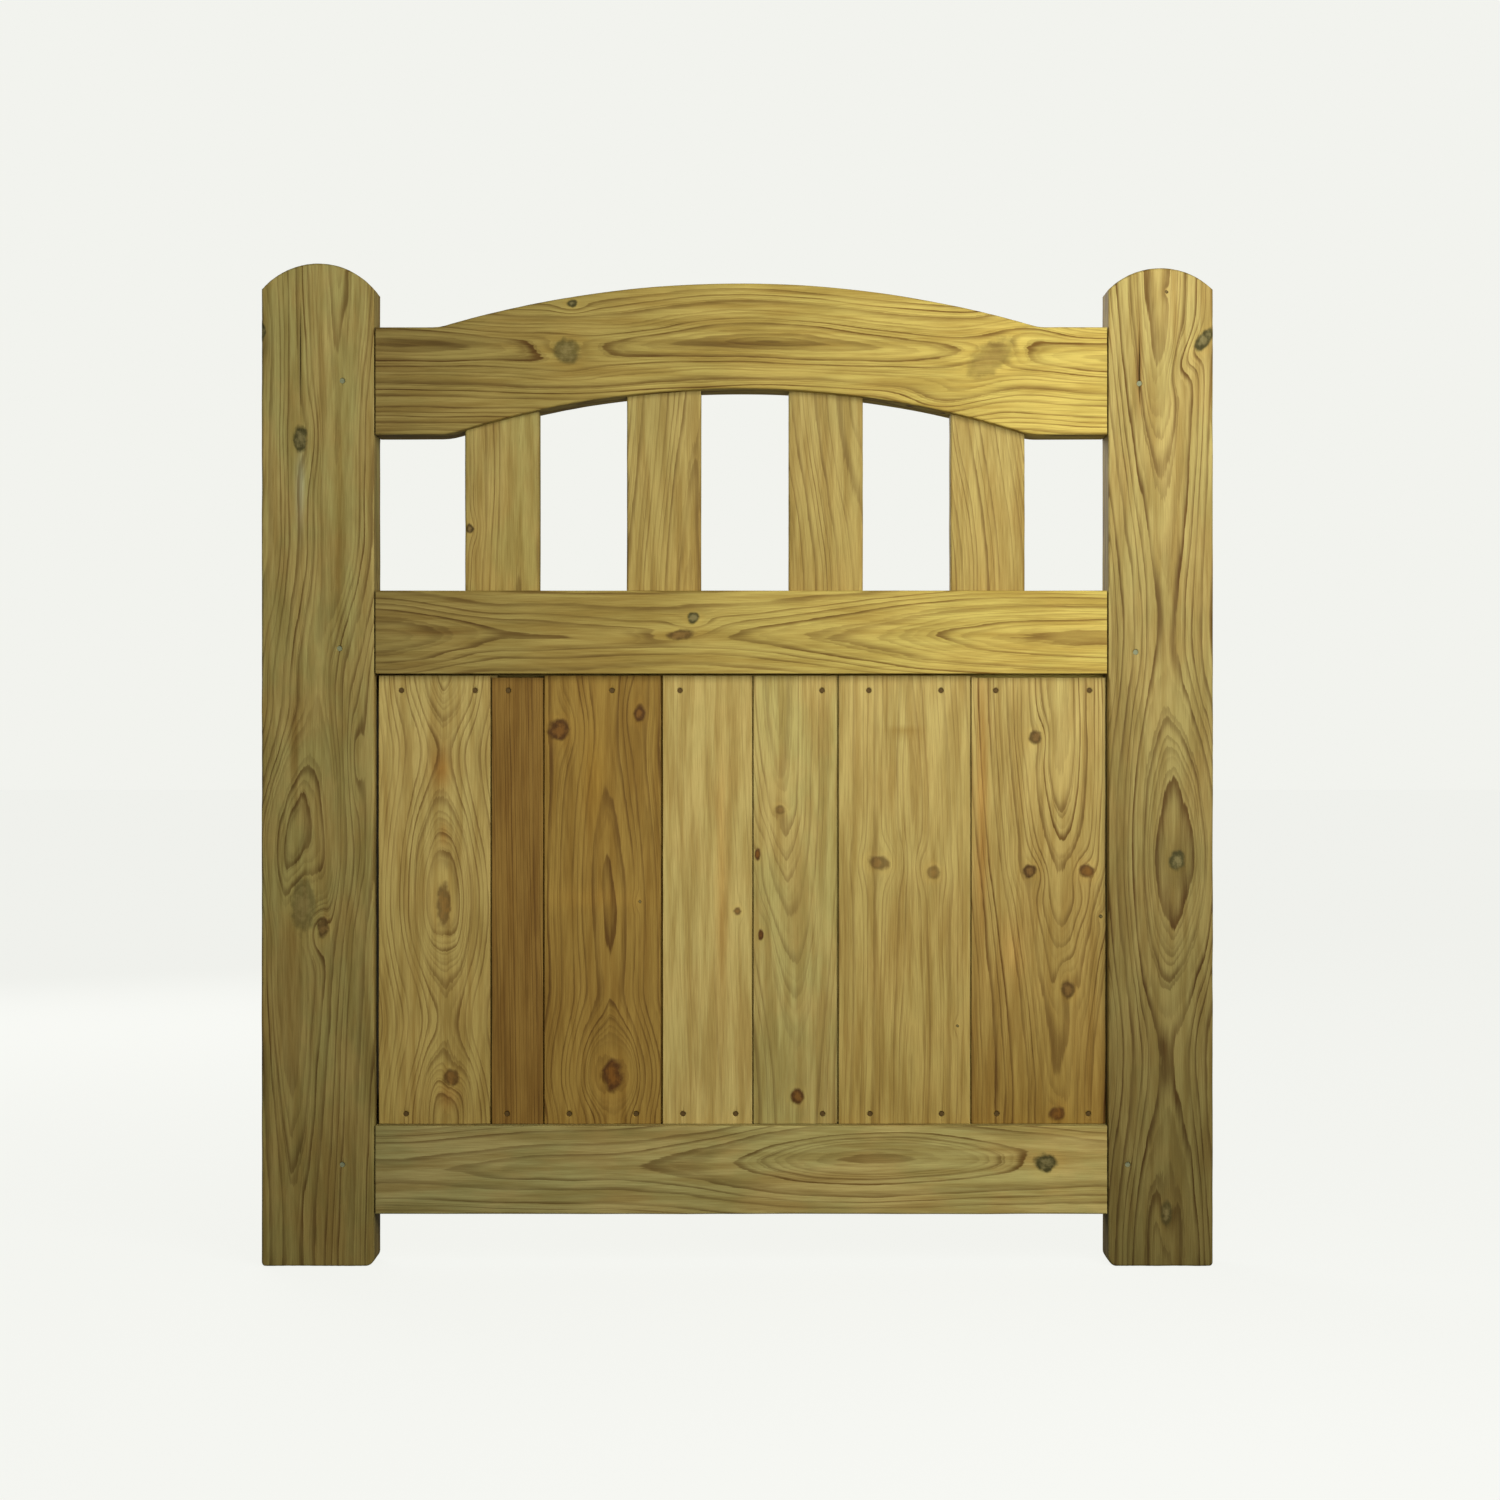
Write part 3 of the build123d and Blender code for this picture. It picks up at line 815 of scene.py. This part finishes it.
def board(index, look):
    """A board with a tongue on its right edge and a groove in its left, its long arrises eased."""
    name = f"board_{index + 1}"
    low, high = BOARDS[name]
    first, last = index == 0, index == BOARD_COUNT - 1
    face_right = high[0] if last else BOARDS[f"board_{index + 2}"][0][0] - BOARD_GAPS[index]
    member = Member(name, low, (face_right, *high[1:]), True, look)
    nails = nail_centres(f"{name}_nails")
    middle_y = (low[1] + high[1]) / 2
    xs = grid_lines(low[0], high[0], ACROSS_STEP, [
        *arris_lines(low[0], face_right, BOARD_ARRIS), *member.knot_lines(0), low[0] + GROOVE_DEPTH,
        face_right, *lines_about([x for x, _ in nails], NAIL_RINGS),
    ])
    ys = grid_lines(low[1], high[1], EDGE_STEP, [
        *arris_lines(low[1], high[1], BOARD_ARRIS),
        *lines_about([middle_y], (TONGUE_HALF, GROOVE_HALF)),
    ])
    zs = grid_lines(low[2], high[2], ALONG_STEP, [
        *arris_lines(low[2], high[2], BOARD_ARRIS), *member.knot_lines(2),
        *lines_about([z for _, z in nails], NAIL_RINGS),
    ])
    block = Block(xs, ys, zs)
    block.put((low[0], face_right), THROUGH, THROUGH)
    if not last:
        block.put((face_right, high[0]), (middle_y - TONGUE_HALF, middle_y + TONGUE_HALF), THROUGH)
    if not first:
        groove_y = (middle_y - GROOVE_HALF, middle_y + GROOVE_HALF)
        block.cut((low[0], low[0] + GROOVE_DEPTH), groove_y, THROUGH)
    points, quads = block.skin()
    worn = BOARD_ARRIS * (1 + BOARD_WEAR * wobble(points, (400, 400, 60), look.seed))
    for x, side_x in ((low[0], -1), (face_right, 1)):
        for y, side_y in ((low[1], -1), (high[1], 1)):
            ease(points, (0, 1), (x, y), (side_x, side_y), worn)
    ease(points, (1, 2), (low[1], high[2]), (-1, 1), BOARD_ARRIS)
    return finish_member(member, points, quads, nails)


def pale(index, look):
    """A pale: a bar with eased long arrises."""
    name = f"pale_{index + 1}"
    low, high = PALES[name]
    member = Member(name, low, high, True, look)
    spans = zip(low, high, (ACROSS_STEP, EDGE_STEP, ALONG_STEP))
    lines = []
    for axis, (a, b, step) in enumerate(spans):
        knots = () if axis == 1 else member.knot_lines(axis)
        lines.append(grid_lines(a, b, step, [*arris_lines(a, b, PALE_ARRIS), *knots]))
    block = Block(*lines)
    block.put(THROUGH, THROUGH, THROUGH)
    points, quads = block.skin()
    worn = PALE_ARRIS * (1 + PALE_WEAR * wobble(points, (400, 400, 50), look.seed))
    ease_four(points, (0, 1), low, high, worn)
    return finish_member(member, points, quads)


# ---------------------------------------------------------------------------------------------
# The looks of the members
# ---------------------------------------------------------------------------------------------
# The springwood's tones in treated softwood: the greenish and yellow ones, then the brown ones
DARK_OLIVE = (0.20, 0.15, 0.04)
OLIVE = (0.30, 0.22, 0.06)
GREY_OLIVE = (0.36, 0.29, 0.10)
GREEN_STRAW = (0.45, 0.35, 0.11)
STRAW = (0.54, 0.41, 0.13)
GOLD = (0.64, 0.49, 0.11)
TAN = (0.44, 0.31, 0.08)
AMBER = (0.34, 0.21, 0.04)
RUST = (0.28, 0.16, 0.03)

# Where a look's first tone, at the lower or left end, is darker than its second, that is partly painted
# shade: it stands in for the light falling off away from the lamp at the upper right.
LEFT_STILE = Look(
    OLIVE, GREEN_STRAW, seed=3, green=0.6, spacing=6.4, wander=2.0,
    pith=[(0, 30, 40), (300, 32, 30), (400, 33, 12), (540, 48, 34), (700, 72, 30), (948, 76, 20)],
    knots=[
        (37, 782, 14, 26, 1.0, 0), (40, 341, 24, 54, 0.8, 0, 0.55), (58, 320, 12, 20, 0.4, 0, 0.9),
        (1, 884, 7, 20, 1.0, 0),
    ],
    eyes=[(88, 480, 24, 120, 1.6)],
    stains=[(32, 500, 10, 120, (0.72, 0.62, 0.48)), (28, 300, 26, 120, (0.78, 0.72, 0.62)),
            (37, 738, 9, 90, (1.25, 1.5, 2.6)), (74, 700, 12, 420, (0.88, 0.80, 0.68)),
            (4, 872, 14, 50, (0.62, 0.62, 0.60))],
    cracks=[(37, 862, 130)],
)
RIGHT_STILE = Look(
    DARK_OLIVE, STRAW, seed=5, green=0.3, spacing=6.2, wander=2.0, contrast=1.1,
    pith=[(0, 54, 28), (200, 57, 42), (384, 62, 16), (590, 56, 44), (944, 46, 20)],
    knots=[
        (90, 875, 13, 28, 1.0, -35), (65, 384, 17, 20, 1.0, 0), (55, 50, 12, 28, 0.9, 0, 0.8),
        (55, 921, 4, 4, 0.6, 0),
    ],
    stains=[(29.5, 846, 8, 120, (0.62, 0.45, 0.32)), (60, 384, 60, 60, (0.80, 0.82, 0.80)),
            (11, 500, 18, 800, (0.82, 0.79, 0.72))],
    cracks=[(29.5, 850, 100)],
)
TOP_RAIL = Look(
    OLIVE, GOLD, seed=7, spacing=6.4, wander=1.0, contrast=1.1,
    pith=[(0, 86, 7), (181, 80, 14), (350, 88, 6), (583, 76, 16), (693, 72, 9)],
    knots=[(181, 79, 27, 25, 1.0, 0, 0.72), (187, 124, 10, 8, 1.0, 0), (583, 73, 56, 30, 0.5, 35, 0.4)],
    stains=[(50, 86, 150, 12, (0.45, 0.37, 0.28)), (353, 86, 210, 10, (0.42, 0.34, 0.26))],
)
MIDDLE_RAIL = Look(
    OLIVE, GOLD, seed=8, spacing=6.2, wander=2.0,
    pith=[(0, 38, 30), (130, 39, 42), (270, 38, 46), (693, 34, 16)],
    knots=[(301, 53, 12, 11, 1.0, 0), (289, 37, 30, 10, 0.3, 8, 0.85)],
    stains=[(60, 39, 100, 8, (0.62, 0.50, 0.38))],
)
BOTTOM_RAIL = Look(
    GREY_OLIVE, STRAW, seed=9, green=0.6, spacing=5.6, wander=2.0,
    pith=[(0, 44, 52), (200, 46, 48), (470, 54, 20), (693, 48, 34)],
    knots=[(634, 49, 23, 18, 1.0, 0)],
)
BOARD_LOOKS = (
    Look(TAN, STRAW, seed=11, spacing=5.4, contrast=0.8,
         pith=[(0, 66, 12), (95, 66, 32), (208, 62, 10), (350, 60, 34), (430, 60, 16)],
         knots=[(62, 208, 14, 44, 0.0, 0, 0.7), (69, 44, 16, 18, 0.1, 0, 0.85)],
         stains=[(60, 337, 24, 50, (0.80, 0.58, 0.38)), (62, 275, 12, 30, (0.85, 0.68, 0.52)),
                 (66, 25, 26, 30, (0.95, 0.80, 0.72))]),
    Look(RUST, RUST, seed=12, spacing=3.0, contrast=0.85,
         pith=[(0, 150, 20), (430, 140, 26)], green=0.05),
    Look(AMBER, AMBER, seed=13, spacing=5.2, contrast=0.9,
         pith=[(0, 66, 26), (46, 65, 14), (130, 64, 32), (430, 60, 40)], green=0.1,
         knots=[(14, 374, 22, 22, 0.1, 0), (91, 390, 12, 18, 0.1, 0), (65, 46, 20, 32, 0.0, 0),
                (91, 211, 4, 4, 0.8, 0)],
         stains=[(50, 214, 110, 26, (1.18, 1.16, 1.15)), (48, 330, 30, 130, (1.05, 0.98, 0.8))]),
    Look(STRAW, STRAW, seed=14, spacing=4.0, contrast=0.25,
         pith=[(0, 140, 40), (430, 130, 30)],
         knots=[(71, 202, 9, 8, 0.0, 30, 0.8)],
         stains=[(56, 250, 14, 300, (0.98, 0.84, 0.72))]),
    Look(GREEN_STRAW, STRAW, seed=15, spacing=4.8, contrast=0.55, green=0.5,
         pith=[(0, 40, 62), (430, 24, 24)],
         knots=[(26, 298, 12, 9, 0.2, 0, 0.6), (42, 26, 14, 15, 0.1, 0), (4, 256, 6, 12, 0.0, 0),
                (7, 180, 6, 12, 0.0, 0)]),
    Look(TAN, STRAW, seed=16, spacing=5.2, contrast=0.5,
         pith=[(0, 68, 8), (430, 66, 14)],
         knots=[(38, 248, 22, 14, 0.2, -8, 0.7), (90, 239, 14, 14, 0.2, 20, 0.6),
                (113, 93, 4, 4, 0.9, 0)],
         stains=[(62, 372, 40, 10, (0.75, 0.66, 0.50))]),
    Look(AMBER, STRAW, seed=17, spacing=5.2, contrast=1.0,
         pith=[(0, 84, 62), (430, 82, 26)],
         knots=[(61, 367, 13, 15, 0.3, 0, 0.9), (55, 240, 15, 13, 0.3, 20),
                (110, 240, 17, 13, 0.0, -20, 0.9), (92, 128, 13, 18, 0.3, 10, 0.85),
                (81, 10, 16, 14, 0.0, 0, 0.9), (123, 197, 4, 4, 0.8, 0)],
         stains=[(10, 300, 14, 300, (0.98, 0.78, 0.62)), (38, 165, 30, 60, (1.2, 1.1, 1.1))]),
)
PALE_LOOKS = (
    Look(TAN, GREEN_STRAW, seed=21, green=0.5, spacing=4.6, contrast=0.75,
         pith=[(0, 50, 40), (222, 50, 40)],
         knots=[(5, 75, 8, 10, 0.6, 0)]),
    Look(TAN, GREEN_STRAW, seed=22, spacing=5.0, contrast=0.75,
         pith=[(0, 60, 24), (222, 70, 30)]),
    Look(TAN, GREEN_STRAW, seed=23, spacing=5.0, contrast=0.7,
         pith=[(0, 90, 50), (222, 70, 44)]),
    Look(TAN, STRAW, seed=24, spacing=4.8, contrast=0.75,
         pith=[(0, -20, 40), (222, -30, 50)]),
)

stile("left_stile", LEFT_STILE)
stile("right_stile", RIGHT_STILE)
rail("top_rail", TOP_RAIL, *RAIL_FACES["top_rail"],
     pale_sockets=(RAIL_FACES["top_rail"][0], RAIL_FACES["top_rail"][0] + PALE_HOUSING))
middle_rail_low, middle_rail_top = RAILS["middle_rail"][0][2], RAIL_FACES["middle_rail"][1]
rail("middle_rail", MIDDLE_RAIL, middle_rail_low, middle_rail_top,
     pale_sockets=(middle_rail_top - PALE_HOUSING - MORTICE_SPARE, middle_rail_top),
     lip_rebate=(middle_rail_low, RAIL_FACES["middle_rail"][0]))
rail("bottom_rail", BOTTOM_RAIL, RAIL_FACES["bottom_rail"][0], RAILS["bottom_rail"][1][2],
     lip_rebate=(RAIL_FACES["bottom_rail"][1], RAILS["bottom_rail"][1][2]))
for index, look in enumerate(BOARD_LOOKS):
    board(index, look)
for index, look in enumerate(PALE_LOOKS):
    pale(index, look)

rail_nail_metal = nail_metal("pale_zinc", (0.09, 0.095, 0.045), (0.33, 0.35, 0.20))
board_nail_metal = nail_metal("dulled_zinc", (0.050, 0.026, 0.005), (0.14, 0.085, 0.025))
for name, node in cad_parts.items():
    if name.endswith("_nails"):
        node.data.materials.clear()
        node.data.materials.append(board_nail_metal if name.startswith("board") else rail_nail_metal)


# ---------------------------------------------------------------------------------------------
# The stage: a pale floor, a pale surround, soft lamps and the camera
# ---------------------------------------------------------------------------------------------
PALE = (0.888, 0.896, 0.855)


def pale_floor():
    """A floor as pale as the surround, so that the gate's soft shadow is all that shows of it."""
    mesh = bpy.data.meshes.new("floor")
    half = 30.0
    corners = [(-half, -half, 0), (half, -half, 0), (half, half, 0), (-half, half, 0)]
    mesh.from_pydata(corners, [], [(0, 1, 2, 3)])
    material = bpy.data.materials.new("pale_floor")
    n = Nodes(material)
    n.shader.inputs["Base Color"].default_value = (0.06, 0.06, 0.06, 1)
    n.shader.inputs["Roughness"].default_value = 1.0
    n.shader.inputs["Specular IOR Level"].default_value = 0.0
    n.shader.inputs["Emission Color"].default_value = (*PALE, 1)
    n.shader.inputs["Emission Strength"].default_value = 0.97
    mesh.materials.append(material)
    floor = bpy.data.objects.new("floor", mesh)
    bpy.context.scene.collection.objects.link(floor)
    floor.location.z = cad_low.z - 0.0002
    floor.visible_diffuse = False
    floor.visible_glossy = False


def surround():
    """An even pale surround that lights the gate softly from all sides."""
    world = bpy.data.worlds.new("surround")
    bpy.context.scene.world = world
    world.use_nodes = True
    tree = world.node_tree
    seen, light = tree.nodes["Background"], tree.nodes.new("ShaderNodeBackground")
    seen.inputs["Color"].default_value = (*PALE, 1)
    light.inputs["Color"].default_value = (0.93, 0.96, 1.0, 1)
    light.inputs["Strength"].default_value = 0.16
    mix, path = tree.nodes.new("ShaderNodeMixShader"), tree.nodes.new("ShaderNodeLightPath")
    tree.links.new(path.outputs["Is Camera Ray"], mix.inputs[0])
    tree.links.new(light.outputs[0], mix.inputs[1])
    tree.links.new(seen.outputs[0], mix.inputs[2])
    tree.links.new(mix.outputs[0], tree.nodes["World Output"].inputs["Surface"])


def lamp(name, place, target, size, power):
    """A square soft lamp, aimed at target."""
    data = bpy.data.lights.new(name, "AREA")
    data.size, data.energy = size, power
    made = bpy.data.objects.new(name, data)
    made.location = place
    made.rotation_euler = (Vector(target) - Vector(place)).to_track_quat("-Z", "Y").to_euler()
    made.visible_camera = False
    bpy.context.scene.collection.objects.link(made)


def camera():
    """Straight on, level with the middle of the gate, as the photograph sees it."""
    data = bpy.data.cameras.new("camera")
    data.sensor_width = 36.0
    data.lens = 63.5
    made = bpy.data.objects.new("camera", data)
    made.location = (0.012, cad_low.y - 2.5, 0.488)
    made.rotation_euler = (math.radians(90), 0, 0)
    bpy.context.scene.collection.objects.link(made)
    bpy.context.scene.camera = made


pale_floor()
surround()
lamp("key", (0.50, -1.05, 0.92), (0.10, 0, 0.60), 0.80, 16.0)
lamp("fill", (-0.7, -2.2, 0.7), (0, 0, 0.5), 1.0, 9.0)
lamp("back", (-1.4, 2.4, 1.7), (0, 0, 0.5), 1.8, 60.0)
camera()
bpy.context.scene.view_settings.view_transform = "Standard"
